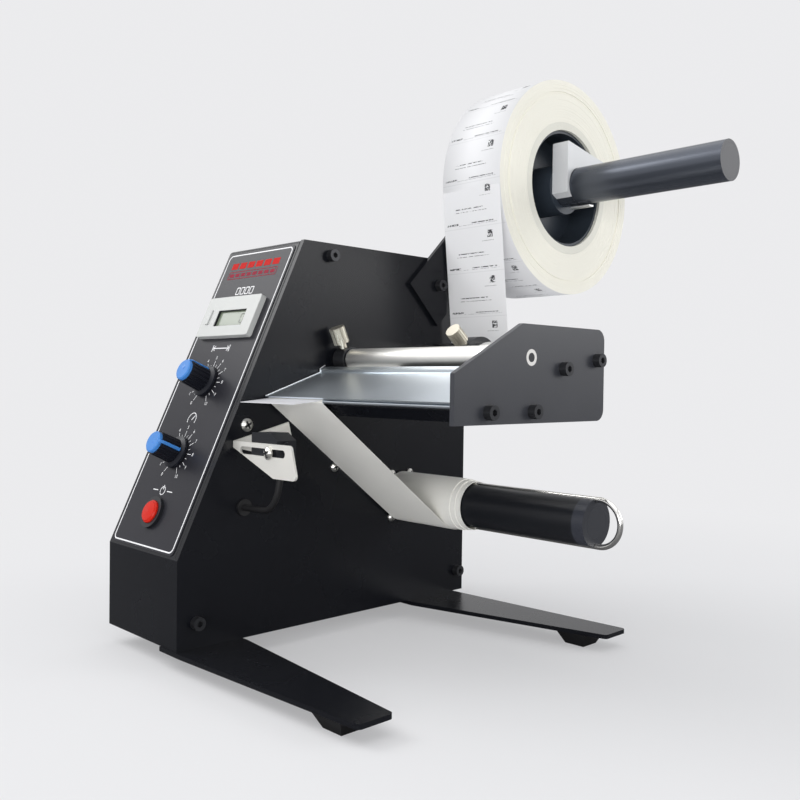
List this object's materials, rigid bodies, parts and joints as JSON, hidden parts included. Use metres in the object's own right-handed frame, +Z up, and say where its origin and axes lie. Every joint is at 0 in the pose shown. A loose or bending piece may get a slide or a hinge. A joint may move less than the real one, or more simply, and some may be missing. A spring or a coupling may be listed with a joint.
{
  "type": "label dispenser",
  "caption": "Desktop automatic label dispenser: sloped control housing, label roll on a rear arm, stripping plate, guide rods and a motor-driven take-up reel.",
  "frame": {"origin": "middle of the footprint, on the surface that the feet stand on", "axes": "+X along the reels' axes to their free ends, +Y from the control panel to the rear, +Z up"},
  "size_m": [0.2406, 0.3291, 0.3492],
  "materials": {
    "backing_paper": "glassine backing",
    "black_aluminium": "black anodised",
    "black_paint": "fine powder coat",
    "black_plastic": "matte",
    "black_rubber": "matte",
    "black_screw": "black oxide",
    "blue_plastic": "smooth",
    "board_green": "solder mask",
    "bright_aluminium": "polished",
    "bright_steel": "ground",
    "chrome_steel": "polished",
    "core_card": "wound card",
    "display_window": "grey-green display",
    "label_paper": "coated label paper",
    "motor_steel": "zinc plated",
    "panel_film": "printed polyester film",
    "red_plastic": "smooth",
    "stainless_sheet": "bright rolled",
    "white_plastic": "smooth"
  },
  "bodies": {
    "frame": {"side_plate": "black_paint", "main_shell": "black_paint", "left_cover": "black_paint", "bottom_plate": "black_paint", "corner_posts": "bright_steel", "side_screws": "black_screw", "cover_screws": "black_screw", "panel_overlay": "panel_film", "counter_bezel": "white_plastic", "counter_window": "display_window", "counter_body": "black_plastic", "potentiometers": "motor_steel", "power_switch": "black_plastic", "front_foot_bar": "black_paint", "rear_foot_bar": "black_paint", "rubber_feet": "black_rubber", "supply_arm": "black_paint", "supply_axle": "bright_steel", "gear_motor": "motor_steel", "pan_screws": "bright_steel", "outer_plate": "black_paint", "rod_screws": "black_screw", "spacer_rod": "chrome_steel", "rear_guide_bar": "bright_steel", "base_beam": "black_aluminium", "roller_shaft": "chrome_steel", "cover_plate": "stainless_sheet", "peel_plate": "stainless_sheet", "label_web": "label_paper", "backing_strip": "backing_paper", "dispensed_label": "label_paper", "sensor_bracket": "stainless_sheet", "cable_grommet": "black_rubber", "power_inlet": "black_plastic", "control_board": "board_green"},
    "supply_reel": {"supply_tube": "black_aluminium", "supply_bushes": "black_plastic", "core_hub": "black_plastic", "core_clamp": "white_plastic", "label_core": "core_card", "label_roll": "label_paper"},
    "takeup_reel": {"takeup_tube": "black_plastic", "takeup_cap": "black_plastic", "takeup_shaft": "bright_steel", "wound_backing": "backing_paper"},
    "clip": {"takeup_clip": "chrome_steel"},
    "roller": {"guide_roller": "bright_aluminium"},
    "left_stop": {"left_collar": "black_aluminium"},
    "left_screw": {"left_thumb_screw": "chrome_steel"},
    "right_stop": {"right_guide": "black_aluminium"},
    "right_screw": {"right_thumb_screw": "chrome_steel"},
    "length_dial": {"length_knob": "black_plastic", "length_knob_cap": "blue_plastic"},
    "speed_dial": {"speed_knob": "black_plastic", "speed_knob_cap": "blue_plastic"},
    "power_key": {"power_button": "red_plastic"},
    "reset_key": {"counter_reset": "white_plastic"},
    "sensor_carriage": {"label_sensor": "black_plastic", "sensor_screw": "bright_steel", "sensor_cable": "black_rubber"}
  },
  "joints": [
    {"name": "supply_spin", "type": "hinge", "parent": "frame", "child": "supply_reel", "pos_m": [-0.0439, 0.09465, 0.2793], "axis": [1, 0, 0], "continuous": true},
    {"name": "takeup_spin", "type": "hinge", "parent": "frame", "child": "takeup_reel", "pos_m": [-0.0439, -0.00625, 0.0784], "axis": [1, 0, 0], "continuous": true},
    {"name": "roller_spin", "type": "hinge", "parent": "frame", "child": "roller", "pos_m": [-0.0439, -0.05765, 0.1621], "axis": [1, 0, 0], "continuous": true},
    {"name": "clip_slide", "type": "slide", "parent": "takeup_reel", "child": "clip", "axis": [1, 0, 0], "range_m": [0, 0.1]},
    {"name": "left_stop_slide", "type": "slide", "parent": "frame", "child": "left_stop", "axis": [1, 0, 0], "range_m": [-0.0008, 0.0008]},
    {"name": "left_screw_turn", "type": "hinge", "parent": "left_stop", "child": "left_screw", "pos_m": [-0.0364, -0.05765, 0.1621], "axis": [0, -0.4226, 0.9063], "range_deg": [0, 360]},
    {"name": "right_stop_slide", "type": "slide", "parent": "frame", "child": "right_stop", "axis": [1, 0, 0], "range_m": [-0.0035, 0.074]},
    {"name": "right_screw_turn", "type": "hinge", "parent": "right_stop", "child": "right_screw", "pos_m": [0.0157, -0.00335, 0.162], "axis": [0, -0.766, 0.6428], "range_deg": [0, 360]},
    {"name": "length_turn", "type": "hinge", "parent": "frame", "child": "length_dial", "pos_m": [-0.0839, -0.12191, 0.14796], "axis": [0, -0.9088, 0.4171], "range_deg": [-150, 150]},
    {"name": "speed_turn", "type": "hinge", "parent": "frame", "child": "speed_dial", "pos_m": [-0.0839, -0.14014, 0.10824], "axis": [0, -0.9088, 0.4171], "range_deg": [-150, 150]},
    {"name": "power_press", "type": "slide", "parent": "frame", "child": "power_key", "axis": [0, 0.9088, -0.4171], "range_m": [0, 0.0025], "stiffness_N_per_m": 400},
    {"name": "reset_press", "type": "slide", "parent": "frame", "child": "reset_key", "axis": [0, 0.9088, -0.4171], "range_m": [0, 0.0015], "stiffness_N_per_m": 300},
    {"name": "sensor_slide", "type": "slide", "parent": "frame", "child": "sensor_carriage", "axis": [1, 0, 0], "range_m": [-0.009, 0.012]}
  ],
  "couplings": [
    {"joint": "takeup_spin", "follows": "supply_spin", "ratio": 4.6291},
    {"joint": "roller_spin", "follows": "supply_spin", "ratio": -11.095}
  ]
}
